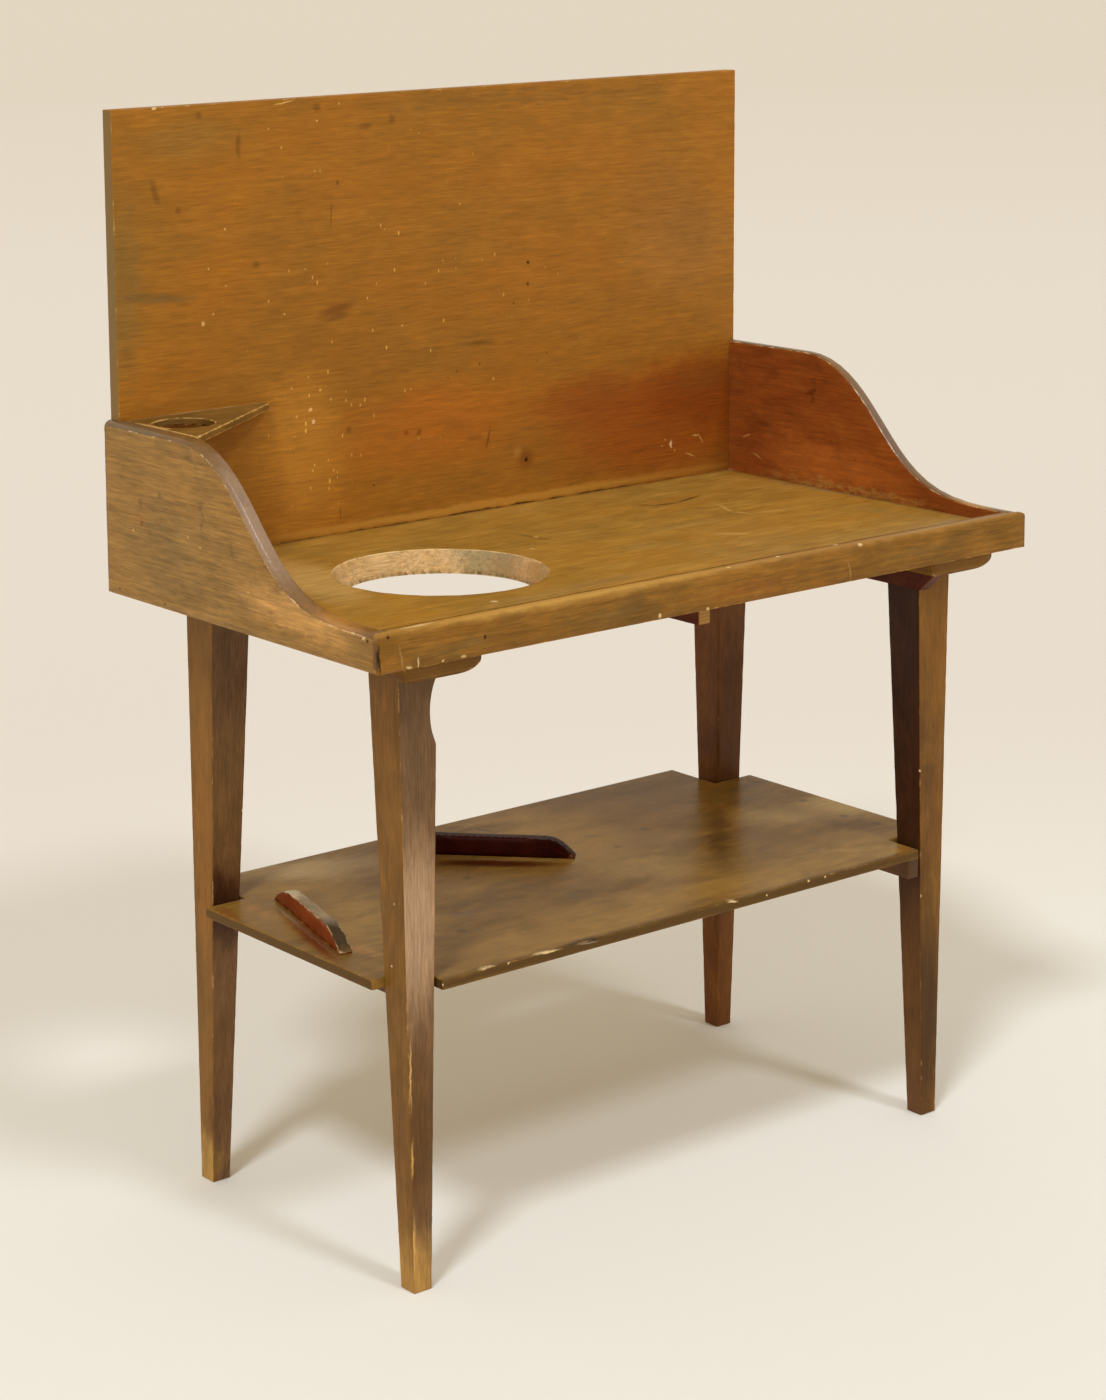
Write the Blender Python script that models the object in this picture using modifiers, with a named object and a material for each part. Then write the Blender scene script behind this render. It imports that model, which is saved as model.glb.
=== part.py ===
"""Old pine washstand: a backboard, ogee side boards, a tray with a basin hole, raking legs
and a low shelf with guide strips for a pail.

Metres, +Z up. X runs along the width, +Y to the back, and the origin is on the floor under
the middle of the tray. Each board is its own closed solid in the collection "washstand".
"""
import math

import bmesh
import bpy
from mathutils import Matrix, Vector

# Overall sizes, the gap between pieces that touch, and the worn edge of a plain board.
WIDTH = 0.960
DEPTH = 0.5056
HEIGHT = 1.246
CLEARANCE = 0.0003
WORN_EDGE = 0.0012

# Tray: a thick floor framed by the backboard, two side boards and a low front rail.
TRAY_UNDERSIDE = 0.7024
TRAY_THICKNESS = 0.0270
BACKBOARD_THICKNESS = 0.0175
SIDE_THICKNESS = 0.0174
BACKBOARD_RABBET = 0.0087   # how far the backboard's ends are let into the side boards
RAIL_THICKNESS = 0.0174
RAIL_LIP = 0.0090           # front part of the rail, which laps over the side boards' ends
RAIL_HEIGHT = 0.0416
RAIL_ROUND = 0.0040

# Side boards: flat at the back, then a double curve down to the rail.
GALLERY_HEIGHT = 0.1966     # from the tray's underside to the flat top
OGEE_CROWN_RUN = 0.1288     # from the flat top to the middle of the curve
OGEE_FOOT_RUN = 0.1695      # from the middle of the curve to its foot
OGEE_FRONT_FLAT = 0.0443    # level stretch in front of the foot
OGEE_SLOPE = math.radians(47.4)
OGEE_PULLS = (0.0590, 0.0495, 0.0618, 0.0967)   # handle lengths, crown to foot
OUTER_ROUND = 0.0090
INNER_ROUND = 0.0030

# Basin hole, measured from the inner faces of the left side board and the rail.
BASIN_FROM_LEFT = 0.2570
BASIN_FROM_RAIL = 0.2292
BASIN_TOP_RADIUS = 0.1215
BASIN_BOTTOM_RADIUS = 0.1110

# Corner shelf with its cup hole, in the back left corner of the gallery.
CORNER_SHELF_THICKNESS = 0.0085
CORNER_SHELF_ALONG_BACK = 0.1906
CORNER_SHELF_TIP = 0.0090       # blunt end against the backboard
CORNER_SHELF_ALONG_SIDE = 0.1440
CUP_HOLE_RADIUS = 0.0352
CUP_HOLE_FROM_SIDE = 0.0397
CUP_HOLE_FROM_BACK = 0.0582

# Bearers under the tray, one over each pair of legs, with an uneven rounded underside.
BEARER_WIDTH = 0.1010
BEARER_THICKNESS = 0.0186
BEARER_END_INSET = 0.0128
BEARER_RIGHT_ROUND = (0.0300, 0.0120)   # run and rise of the lower right corner
BEARER_LEFT_ROUND = (0.0055, 0.0055)

# Legs: square, tapered, and each raked outwards by its own hand-cut amount.
LEG_INSET_X = 0.0930
LEG_INSET_Y = 0.0823
LEG_TOP_SIZE = 0.0524
LEG_FOOT_SIZE = 0.0242
LEG_CHAMFER = 0.0015
TENON_SIZE = 0.0300
TENON_LENGTH = 0.0100
LEG_RAKES = {                   # how far each foot stands out from the leg's top, in X and Y
    "front_left": (0.0092, 0.0236),
    "front_right": (0.0039, 0.0163),
    "back_left": (0.0106, 0.0154),
    "back_right": (0.0191, 0.0191),
}
SCALLOP_LENGTH = 0.0750         # hollow in the front left leg's inner face
SCALLOP_DEPTH = 0.0092
SCALLOP_DROP = 0.0500           # from the leg's top to the hollow's middle

# Cleats under the tray and on the inner faces of the right legs.
CLEAT_HEIGHT = 0.0210
CENTRE_CLEAT_WIDTH = 0.0175
CENTRE_CLEAT_X = -0.0183
LEG_CLEAT_WIDTH = 0.0158
LEG_CLEAT_INSET = 0.0178        # from the front of the tray to its upper front corner
LEG_CLEAT_BACK_INSET = 0.0380

# Lower shelf, notched round the legs, on two battens.
SHELF_TOP = 0.3433
SHELF_THICKNESS = 0.0114
SHELF_PAST_LEG_X = 0.0390       # from a leg's centre line at its top
SHELF_PAST_LEG_FRONT = 0.0375
SHELF_PAST_LEG_BACK = 0.0635
NOTCH_SLACK = {                 # what the saw left round each leg, in X and in Y
    "front_left": (0.0055, 0.0015),
    "front_right": (0.0130, 0.0020),
    "back_left": (0.0010, 0.0077),
    "back_right": (0.0130, 0.0080),
}
BATTEN_WIDTH = 0.0174
BATTEN_HEIGHT = 0.0277
BATTEN_BACK = 0.2000
BATTEN_FRONT = {"left": 0.1780, "right": 0.1960}

# Guide strips that keep the pail under the basin hole: the bearing of each from the pail's
# centre, its distance, how far its middle lies along it, its height and thickness, and how
# each end falls away (run and power), first the end against its direction.
GUIDE_LENGTH = 0.2060
GUIDE_BLUNT = 0.0016
GUIDES = {
    "left": {"bearing": 164.6, "distance": 0.1583, "slide": -0.0150, "height": 0.0215,
             "thickness": 0.0145, "falls": ((0.0460, 1.6), (0.0550, 2.5))},
    "right": {"bearing": 44.4, "distance": 0.1790, "slide": 0.0306, "height": 0.0225,
              "thickness": 0.0170, "falls": ((0.0350, 2.0), (0.0350, 2.0))},
}

# Worked out from the sizes above.
TRAY_FLOOR = TRAY_UNDERSIDE + TRAY_THICKNESS
RAIL_TOP = TRAY_UNDERSIDE + RAIL_HEIGHT
GALLERY_TOP = TRAY_UNDERSIDE + GALLERY_HEIGHT
FRONT = -DEPTH / 2
BACK = DEPTH / 2
RAIL_BACK = FRONT + RAIL_THICKNESS
BACKBOARD_FACE = BACK - BACKBOARD_THICKNESS
SIDE_INNER = WIDTH / 2 - SIDE_THICKNESS
SIDE_FRONT = FRONT + RAIL_LIP + CLEARANCE
OGEE_FOOT = SIDE_FRONT + OGEE_FRONT_FLAT
OGEE_CROWN = OGEE_FOOT + OGEE_FOOT_RUN + OGEE_CROWN_RUN
BASIN_X = BASIN_FROM_LEFT - SIDE_INNER
BASIN_Y = RAIL_BACK + BASIN_FROM_RAIL
BEARER_UNDERSIDE = TRAY_UNDERSIDE - CLEARANCE - BEARER_THICKNESS
LEG_X = WIDTH / 2 - LEG_INSET_X
LEG_Y = DEPTH / 2 - LEG_INSET_Y
LEG_TOP = BEARER_UNDERSIDE - CLEARANCE
SHELF_UNDERSIDE = SHELF_TOP - SHELF_THICKNESS
BATTEN_TOP = SHELF_UNDERSIDE - CLEARANCE

# Outline planes: the local axes of a flat outline, as the columns of a rotation.
PLAN = Matrix.Identity(3)                                    # outline in X and Y, thick along Z
SIDE_VIEW = Matrix(((0, 0, 1), (1, 0, 0), (0, 1, 0)))        # outline in Y and Z, thick along X
FRONT_VIEW = Matrix(((1, 0, 0), (0, 0, -1), (0, 1, 0)))      # outline in X and Z, thick along Y

CUT_MARGIN = 0.0100             # how far a cutter reaches past the face that it opens


def new_collection(name):
    collection = bpy.data.collections.new(name)
    bpy.context.scene.collection.children.link(collection)
    return collection


def wood(name, colour, roughness):
    """Stained and waxed pine: a Principled material from an sRGB colour."""
    linear = [((c + 0.055) / 1.055) ** 2.4 for c in colour]
    material = bpy.data.materials.new(name)
    material.use_nodes = True
    shader = material.node_tree.nodes["Principled BSDF"]
    shader.inputs["Base Color"].default_value = (*linear, 1.0)
    shader.inputs["Roughness"].default_value = roughness
    shader.inputs["Metallic"].default_value = 0.0
    material.diffuse_color = (*linear, 1.0)
    return material


def add_object(name, mesh, collection, matrix=None):
    obj = bpy.data.objects.new(name, mesh)
    collection.objects.link(obj)
    if matrix is not None:
        obj.matrix_world = matrix
    return obj


def mesh_from(bm, name):
    mesh = bpy.data.meshes.new(name)
    bm.to_mesh(mesh)
    bm.free()
    return mesh


def box(name, low, high, collection):
    """A board between two opposite corners."""
    size = Vector(high) - Vector(low)
    bm = bmesh.new()
    bmesh.ops.create_cube(bm, size=1.0, matrix=Matrix.Diagonal((*size, 1.0)))
    centre = (Vector(high) + Vector(low)) / 2
    return add_object(name, mesh_from(bm, name), collection, Matrix.Translation(centre))


def flat_outline(name, points, thickness, axes, centre, collection):
    """A board cut to a flat outline, from a filled 2D curve that becomes a mesh."""
    curve = bpy.data.curves.new(name, "CURVE")
    curve.dimensions = "2D"
    curve.fill_mode = "BOTH"
    curve.extrude = thickness / 2
    spline = curve.splines.new("POLY")
    spline.points.add(len(points) - 1)
    for spot, (x, y) in zip(spline.points, points):
        spot.co = (x, y, 0.0, 1.0)
    spline.use_cyclic_u = True
    outline = add_object(name + "_outline", curve, collection,
                         Matrix.Translation(centre) @ axes.to_4x4())
    bpy.context.view_layer.update()
    evaluated = outline.evaluated_get(bpy.context.evaluated_depsgraph_get())
    mesh = bpy.data.meshes.new_from_object(evaluated)
    mesh.name = name
    bm = bmesh.new()
    bm.from_mesh(mesh)
    bmesh.ops.remove_doubles(bm, verts=bm.verts, dist=0.00001)
    bmesh.ops.dissolve_limit(bm, angle_limit=math.radians(0.2), verts=bm.verts, edges=bm.edges)
    bm.to_mesh(mesh)
    bm.free()
    board = add_object(name, mesh, collection, outline.matrix_world.copy())
    bpy.data.objects.remove(outline)
    bpy.data.curves.remove(curve)
    return board


def round_edges(obj, chosen, width, segments):
    """Round the edges of a mesh whose two ends both pass the test `chosen`."""
    bm = bmesh.new()
    bm.from_mesh(obj.data)
    edges = [e for e in bm.edges if all(chosen(v.co) for v in e.verts)]
    bmesh.ops.bevel(bm, geom=edges, offset=width, offset_type="OFFSET", segments=segments,
                    profile=0.5, affect="EDGES", clamp_overlap=True)
    bm.to_mesh(obj.data)
    bm.free()


def wear_edges(obj, width):
    """The slightly rounded arrises of an old planed board."""
    bevel = obj.modifiers.new("worn_edges", "BEVEL")
    bevel.width = width
    bevel.segments = 2
    bevel.limit_method = "ANGLE"
    bevel.angle_limit = math.radians(50)


def cut(obj, cutter):
    cutter.hide_render = True
    cutter.display_type = "WIRE"
    boolean = obj.modifiers.new(cutter.name, "BOOLEAN")
    boolean.operation = "DIFFERENCE"
    boolean.object = cutter


def bezier(start, start_handle, end_handle, end, steps):
    """Points of a cubic curve, without its first one."""
    points = []
    for step in range(1, steps + 1):
        t = step / steps
        weights = ((1 - t) ** 3, 3 * (1 - t) ** 2 * t, 3 * (1 - t) * t * t, t ** 3)
        knots = (start, start_handle, end_handle, end)
        points.append(tuple(sum(w * k[i] for w, k in zip(weights, knots)) for i in (0, 1)))
    return points


def corner_round(corner, run, rise, steps):
    """Points round an outline's corner, from its side to its underside: a quarter ellipse."""
    points = []
    for step in range(steps + 1):
        angle = math.pi / 2 * step / steps
        points.append((corner[0] - run * (1 - math.cos(angle)),
                       corner[1] + rise * (1 - math.sin(angle))))
    return points


def leg_corner(name):
    """Which corner of the stand a leg stands at: its signs in X and in Y."""
    end, side = name.split("_")
    return (-1 if side == "left" else 1), (-1 if end == "front" else 1)


def leg_faces(name, height):
    """Inner face of a leg in X and in Y at a height, as distances from the stand's middle."""
    rake_x, rake_y = LEG_RAKES[name]
    share = (LEG_TOP - height) / LEG_TOP
    half = (LEG_TOP_SIZE + (LEG_FOOT_SIZE - LEG_TOP_SIZE) * share) / 2
    return LEG_X + rake_x * share - half, LEG_Y + rake_y * share - half


def backboard(parts):
    half = WIDTH / 2 - BACKBOARD_RABBET - CLEARANCE
    board = box("backboard", (-half, BACKBOARD_FACE, TRAY_UNDERSIDE), (half, BACK, HEIGHT), parts)
    wear_edges(board, WORN_EDGE)
    board.data.materials.append(wood("backboard", (0.60, 0.40, 0.18), 0.42))


def side_outline():
    """Side board in Y and Z: level at the back, then down a double curve to the rail."""
    crown = (OGEE_CROWN, GALLERY_TOP)
    middle = (OGEE_CROWN - OGEE_CROWN_RUN, (GALLERY_TOP + RAIL_TOP) / 2)
    foot = (OGEE_FOOT, RAIL_TOP)
    slope = (math.cos(OGEE_SLOPE), math.sin(OGEE_SLOPE))
    pulls = OGEE_PULLS
    points = [(SIDE_FRONT, TRAY_UNDERSIDE), (BACK, TRAY_UNDERSIDE), (BACK, GALLERY_TOP), crown]
    points += bezier(crown, (crown[0] - pulls[0], crown[1]),
                     (middle[0] + pulls[1] * slope[0], middle[1] + pulls[1] * slope[1]),
                     middle, 9)
    points += bezier(middle, (middle[0] - pulls[2] * slope[0], middle[1] - pulls[2] * slope[1]),
                     (foot[0] + pulls[3], foot[1]), foot, 9)
    points.append((SIDE_FRONT, RAIL_TOP))
    return points


def side_board(name, side, parts, cutters):
    """One ogee side board: rounded top edge, and a rabbet at the back for the backboard."""
    centre_x = side * (SIDE_INNER + SIDE_THICKNESS / 2)
    board = flat_outline(f"side_board_{name}", side_outline(), SIDE_THICKNESS, SIDE_VIEW,
                         (centre_x, 0, 0), parts)
    top_line = RAIL_TOP - CLEARANCE
    round_edges(board, lambda p: p.y > top_line and side * p.z > SIDE_THICKNESS * 0.49,
                OUTER_ROUND, 5)
    round_edges(board, lambda p: p.y > top_line and side * p.z < -SIDE_THICKNESS * 0.49,
                INNER_ROUND, 3)
    rabbet_face = WIDTH / 2 - BACKBOARD_RABBET
    low_x, high_x = sorted((side * (SIDE_INNER - CUT_MARGIN), side * rabbet_face))
    cut(board, box(f"rabbet_{name}",
                   (low_x, BACKBOARD_FACE - CLEARANCE, TRAY_UNDERSIDE - CUT_MARGIN),
                   (high_x, BACK + CUT_MARGIN, GALLERY_TOP + CUT_MARGIN), cutters))
    board.data.materials.append(wood(f"side_board_{name}", (0.58, 0.40, 0.20), 0.42))


def front_rail(parts):
    """The rail: its front lip laps over the side boards' ends, its body fits between them."""
    half = WIDTH / 2
    body = SIDE_INNER
    lip_back = FRONT + RAIL_LIP
    outline = [(-half, FRONT), (half, FRONT), (half, lip_back), (body, lip_back),
               (body, RAIL_BACK), (-body, RAIL_BACK), (-body, lip_back), (-half, lip_back)]
    rail = flat_outline("front_rail", outline, RAIL_HEIGHT, PLAN,
                        (0, 0, TRAY_UNDERSIDE + RAIL_HEIGHT / 2), parts)
    top = RAIL_HEIGHT * 0.49
    round_edges(rail, lambda p: p.z > top and (p.y < FRONT + CLEARANCE or abs(p.x) > body * 1.01),
                RAIL_ROUND, 3)
    rail.data.materials.append(wood("front_rail", (0.54, 0.36, 0.17), 0.42))


def tray_board(parts, cutters):
    """The tray floor, with a basin hole that narrows downwards."""
    fit = CLEARANCE
    tray = box("tray_board", (fit - SIDE_INNER, RAIL_BACK + fit, TRAY_UNDERSIDE),
               (SIDE_INNER - fit, BACKBOARD_FACE - fit, TRAY_FLOOR), parts)
    taper = (BASIN_TOP_RADIUS - BASIN_BOTTOM_RADIUS) / TRAY_THICKNESS * CUT_MARGIN
    bm = bmesh.new()
    bmesh.ops.create_cone(bm, cap_ends=True, segments=96,
                          radius1=BASIN_BOTTOM_RADIUS - taper, radius2=BASIN_TOP_RADIUS + taper,
                          depth=TRAY_THICKNESS + 2 * CUT_MARGIN)
    place = Matrix.Translation((BASIN_X, BASIN_Y, (TRAY_UNDERSIDE + TRAY_FLOOR) / 2))
    cut(tray, add_object("basin_hole", mesh_from(bm, "basin_hole"), cutters, place))
    tray.data.materials.append(wood("tray_board", (0.64, 0.45, 0.19), 0.40))


def corner_shelf(parts, cutters):
    """Triangular shelf in the gallery's back left corner, level with the side board's top."""
    side = CLEARANCE - SIDE_INNER
    back = BACKBOARD_FACE - CLEARANCE
    tip = side + CORNER_SHELF_ALONG_BACK
    front = back - CORNER_SHELF_ALONG_SIDE
    outline = [(side, front), (tip, back - CORNER_SHELF_TIP), (tip, back), (side, back)]
    middle = GALLERY_TOP - CORNER_SHELF_THICKNESS / 2
    shelf = flat_outline("corner_shelf", outline, CORNER_SHELF_THICKNESS, PLAN,
                         (0, 0, middle), parts)
    wear_edges(shelf, WORN_EDGE)
    bm = bmesh.new()
    bmesh.ops.create_cone(bm, cap_ends=True, segments=64, radius1=CUP_HOLE_RADIUS,
                          radius2=CUP_HOLE_RADIUS, depth=CORNER_SHELF_THICKNESS + 2 * CUT_MARGIN)
    place = Matrix.Translation((CUP_HOLE_FROM_SIDE - SIDE_INNER,
                                BACKBOARD_FACE - CUP_HOLE_FROM_BACK, middle))
    cut(shelf, add_object("cup_hole", mesh_from(bm, "cup_hole"), cutters, place))
    shelf.data.materials.append(wood("corner_shelf", (0.47, 0.33, 0.17), 0.42))


def bearer(name, side, parts, cutters):
    """A board along the depth under the tray, mortised for the tenons of its two legs."""
    left = side * LEG_X - BEARER_WIDTH / 2
    right = side * LEG_X + BEARER_WIDTH / 2
    top = TRAY_UNDERSIDE - CLEARANCE
    right_corner = corner_round((right, BEARER_UNDERSIDE), *BEARER_RIGHT_ROUND, 6)
    left_corner = corner_round((-left, BEARER_UNDERSIDE), *BEARER_LEFT_ROUND, 3)
    outline = [(right, top)] + right_corner
    outline += [(-x, z) for x, z in reversed(left_corner)] + [(left, top)]
    length = DEPTH - 2 * BEARER_END_INSET
    board = flat_outline(f"bearer_{name}", outline, length, FRONT_VIEW, (0, 0, 0), parts)
    half = TENON_SIZE / 2 + CLEARANCE
    for end, end_name in ((-1, "front"), (1, "back")):
        centre = Vector((side * LEG_X, end * LEG_Y, 0))
        low = centre + Vector((-half, -half, BEARER_UNDERSIDE - CUT_MARGIN))
        high = centre + Vector((half, half, LEG_TOP + TENON_LENGTH + CLEARANCE))
        cut(board, box(f"mortise_{end_name}_{name}", low, high, cutters))
    board.data.materials.append(wood(f"bearer_{name}", (0.42, 0.28, 0.13), 0.50))


def leg(name, parts):
    """A square leg tapered from its shoulder to its foot, with a stub tenon on top."""
    side, end = leg_corner(name)
    rake_x, rake_y = LEG_RAKES[name]
    bm = bmesh.new()
    size = Matrix.Diagonal((LEG_TOP_SIZE, LEG_TOP_SIZE, LEG_TOP, 1.0))
    bmesh.ops.create_cube(bm, size=1.0, matrix=Matrix.Translation((0, 0, -LEG_TOP / 2)) @ size)
    rake = Vector((side * rake_x, end * rake_y, 0))
    for vertex in bm.verts:
        if vertex.co.z < -LEG_TOP / 2:
            vertex.co.xy *= LEG_FOOT_SIZE / LEG_TOP_SIZE
            vertex.co += rake
    shaft_edges = list(bm.edges)
    shoulder = max(bm.faces, key=lambda face: face.calc_center_median().z)
    chamfered = [e for e in shaft_edges if not all(v.co.z > -CLEARANCE for v in e.verts)]
    bmesh.ops.inset_region(bm, faces=[shoulder], thickness=(LEG_TOP_SIZE - TENON_SIZE) / 2,
                           use_even_offset=True)
    raised = bmesh.ops.extrude_face_region(bm, geom=[shoulder])
    tenon_verts = [g for g in raised["geom"] if isinstance(g, bmesh.types.BMVert)]
    bmesh.ops.translate(bm, vec=(0, 0, TENON_LENGTH), verts=tenon_verts)
    bmesh.ops.delete(bm, geom=[shoulder], context="FACES_ONLY")
    bmesh.ops.bevel(bm, geom=chamfered, offset=LEG_CHAMFER, offset_type="OFFSET", segments=2,
                    profile=0.5, affect="EDGES", clamp_overlap=True)
    place = Matrix.Translation((side * LEG_X, end * LEG_Y, LEG_TOP))
    shaft = add_object(f"leg_{name}", mesh_from(bm, f"leg_{name}"), parts, place)
    shaft.data.materials.append(wood(f"leg_{name}", (0.45, 0.32, 0.17), 0.45))
    return shaft


def leg_scallop(shaft, name, cutters):
    """The shallow hollow in the inner face of one leg, cut by a cylinder along the depth."""
    side, end = leg_corner(name)
    radius = (SCALLOP_LENGTH ** 2 / 4 + SCALLOP_DEPTH ** 2) / (2 * SCALLOP_DEPTH)
    height = LEG_TOP - SCALLOP_DROP
    inner_x, inner_y = leg_faces(name, height)
    centre_x = side * (inner_x + SCALLOP_DEPTH - radius)
    bm = bmesh.new()
    bmesh.ops.create_cone(bm, cap_ends=True, segments=96, radius1=radius, radius2=radius,
                          depth=LEG_TOP_SIZE + 4 * CUT_MARGIN,
                          matrix=Matrix.Rotation(math.pi / 2, 4, "X"))
    place = Matrix.Translation((centre_x, end * (inner_y + LEG_TOP_SIZE / 2), height))
    cut(shaft, add_object("scallop", mesh_from(bm, "scallop"), cutters, place))


def centre_cleat(parts):
    left = CENTRE_CLEAT_X - CENTRE_CLEAT_WIDTH / 2
    top = TRAY_UNDERSIDE - CLEARANCE
    cleat = box("centre_cleat", (left, RAIL_BACK, top - CLEAT_HEIGHT),
                (left + CENTRE_CLEAT_WIDTH, BACKBOARD_FACE, top), parts)
    wear_edges(cleat, WORN_EDGE)
    cleat.data.materials.append(wood("centre_cleat", (0.55, 0.42, 0.24), 0.55))


def leg_cleat(parts):
    """Strip on the inner faces of the right legs, its front end cut at 45 degrees."""
    top = BEARER_UNDERSIDE - CLEARANCE
    front = FRONT + LEG_CLEAT_INSET
    back = BACK - LEG_CLEAT_BACK_INSET
    outline = [(front, top), (front + CLEAT_HEIGHT, top - CLEAT_HEIGHT),
               (back, top - CLEAT_HEIGHT), (back, top)]
    centre_x = LEG_X - LEG_TOP_SIZE / 2 - CLEARANCE - LEG_CLEAT_WIDTH / 2
    cleat = flat_outline("leg_cleat_right", outline, LEG_CLEAT_WIDTH, SIDE_VIEW,
                         (centre_x, 0, 0), parts)
    wear_edges(cleat, WORN_EDGE)
    cleat.data.materials.append(wood("leg_cleat_right", (0.42, 0.29, 0.16), 0.55))


def notch_corner(name):
    """Inner corner of the notch that lets one leg through the lower shelf."""
    inner_x, inner_y = leg_faces(name, SHELF_TOP)
    slack_x, slack_y = NOTCH_SLACK[name]
    side, end = leg_corner(name)
    return side * (inner_x - slack_x), end * (inner_y - slack_y)


def lower_shelf(parts):
    """The shelf's corners are cut away square, round each leg."""
    edge = LEG_X + SHELF_PAST_LEG_X
    front = -(LEG_Y + SHELF_PAST_LEG_FRONT)
    back = LEG_Y + SHELF_PAST_LEG_BACK
    outline = []
    corners = (("front_left", -edge, front), ("front_right", edge, front),
               ("back_right", edge, back), ("back_left", -edge, back))
    for name, edge_x, edge_y in corners:
        notch_x, notch_y = notch_corner(name)
        corner = [(edge_x, notch_y), (notch_x, notch_y), (notch_x, edge_y)]
        turned = name in ("front_right", "back_left")
        outline += reversed(corner) if turned else corner
    shelf = flat_outline("lower_shelf", outline, SHELF_THICKNESS, PLAN,
                         (0, 0, SHELF_TOP - SHELF_THICKNESS / 2), parts)
    wear_edges(shelf, WORN_EDGE)
    shelf.data.materials.append(wood("lower_shelf", (0.49, 0.38, 0.21), 0.35))


def shelf_batten(name, side, parts):
    """A batten under the shelf, against the inner faces of a pair of legs."""
    outer = min(leg_faces(f"{end}_{name}", BATTEN_TOP)[0] for end in ("front", "back")) - CLEARANCE
    low_x, high_x = sorted((side * outer, side * (outer - BATTEN_WIDTH)))
    batten = box(f"shelf_batten_{name}", (low_x, -BATTEN_FRONT[name], BATTEN_TOP - BATTEN_HEIGHT),
                 (high_x, BATTEN_BACK, BATTEN_TOP), parts)
    wear_edges(batten, WORN_EDGE)
    batten.data.materials.append(wood(f"shelf_batten_{name}", (0.40, 0.27, 0.13), 0.50))


def guide_outline(height, falls):
    """Guide strip along its length and height: each end falls away by its own power curve."""
    steps = 7
    points = [(-GUIDE_LENGTH / 2, 0.0), (GUIDE_LENGTH / 2, 0.0)]
    for end, (run, power) in ((1, falls[1]), (-1, falls[0])):
        rises = [1 - (step / steps) ** power for step in range(steps, -1, -1)]
        reach = [GUIDE_LENGTH / 2 - run + run * step / steps for step in range(steps, -1, -1)]
        curve = [(end * x, GUIDE_BLUNT + (height - GUIDE_BLUNT) * z) for x, z in zip(reach, rises)]
        points += curve if end == 1 else reversed(curve)
    return points


def guide_strip(name, parts):
    """A strip on the lower shelf, square to the line from the pail's centre at its bearing."""
    guide = GUIDES[name]
    bearing = math.radians(guide["bearing"])
    outward = Vector((math.cos(bearing), math.sin(bearing), 0))
    along = outward.cross(Vector((0, 0, 1)))
    axes = Matrix((along, Vector((0, 0, 1)), along.cross(Vector((0, 0, 1))))).transposed()
    centre = Vector((BASIN_X, BASIN_Y, SHELF_TOP + CLEARANCE))
    centre += outward * (guide["distance"] + guide["thickness"] / 2) + along * guide["slide"]
    strip = flat_outline(f"guide_strip_{name}", guide_outline(guide["height"], guide["falls"]),
                         guide["thickness"], axes, centre, parts)
    strip.data.materials.append(wood(f"guide_strip_{name}", (0.43, 0.17, 0.08), 0.30))


for old in list(bpy.data.objects):
    bpy.data.objects.remove(old)

washstand = new_collection("washstand")
cutters = new_collection("cutters")

backboard(washstand)
front_rail(washstand)
tray_board(washstand, cutters)
corner_shelf(washstand, cutters)
centre_cleat(washstand)
leg_cleat(washstand)
lower_shelf(washstand)
for side_name, side_sign in (("left", -1), ("right", 1)):
    side_board(side_name, side_sign, washstand, cutters)
    bearer(side_name, side_sign, washstand, cutters)
    shelf_batten(side_name, side_sign, washstand)
    guide_strip(side_name, washstand)
for leg_name in LEG_RAKES:
    leg_object = leg(leg_name, washstand)
    if leg_name == "front_left":
        leg_scallop(leg_object, leg_name, cutters)
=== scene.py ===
"""An old washstand of stained pine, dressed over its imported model."""

import math

import bmesh
import bpy
from mathutils import Matrix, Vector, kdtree, noise


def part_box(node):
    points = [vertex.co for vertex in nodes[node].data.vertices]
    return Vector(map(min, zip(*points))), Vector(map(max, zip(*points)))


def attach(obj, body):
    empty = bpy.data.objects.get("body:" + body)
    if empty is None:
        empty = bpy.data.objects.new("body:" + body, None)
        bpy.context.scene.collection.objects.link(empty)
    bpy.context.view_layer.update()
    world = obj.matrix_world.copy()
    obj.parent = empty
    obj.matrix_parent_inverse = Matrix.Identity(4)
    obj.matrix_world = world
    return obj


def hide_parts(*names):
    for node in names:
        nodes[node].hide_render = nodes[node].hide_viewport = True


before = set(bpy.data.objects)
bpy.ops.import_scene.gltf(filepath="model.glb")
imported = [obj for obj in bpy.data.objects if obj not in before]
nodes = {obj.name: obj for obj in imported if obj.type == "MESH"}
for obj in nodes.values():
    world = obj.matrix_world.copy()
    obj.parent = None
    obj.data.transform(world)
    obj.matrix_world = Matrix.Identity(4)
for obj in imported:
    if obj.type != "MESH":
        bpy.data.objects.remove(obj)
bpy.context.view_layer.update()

# ---------------------------------------------------------------------------------------------
# Legs. Four square tapered legs sawn and planed from pine, raked a little outwards, their heads
# tenoned into the bearers. The thin stain is rubbed, worst on the front left leg, and the feet
# and arrises are worn down to pale wood.


def linear(colour):
    """An sRGB hex colour as linear red, green, blue and 1."""
    parts = [int(colour[i : i + 2], 16) / 255 for i in (0, 2, 4)]
    return [c / 12.92 if c <= 0.04045 else ((c + 0.055) / 1.055) ** 2.4 for c in parts] + [1]


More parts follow.
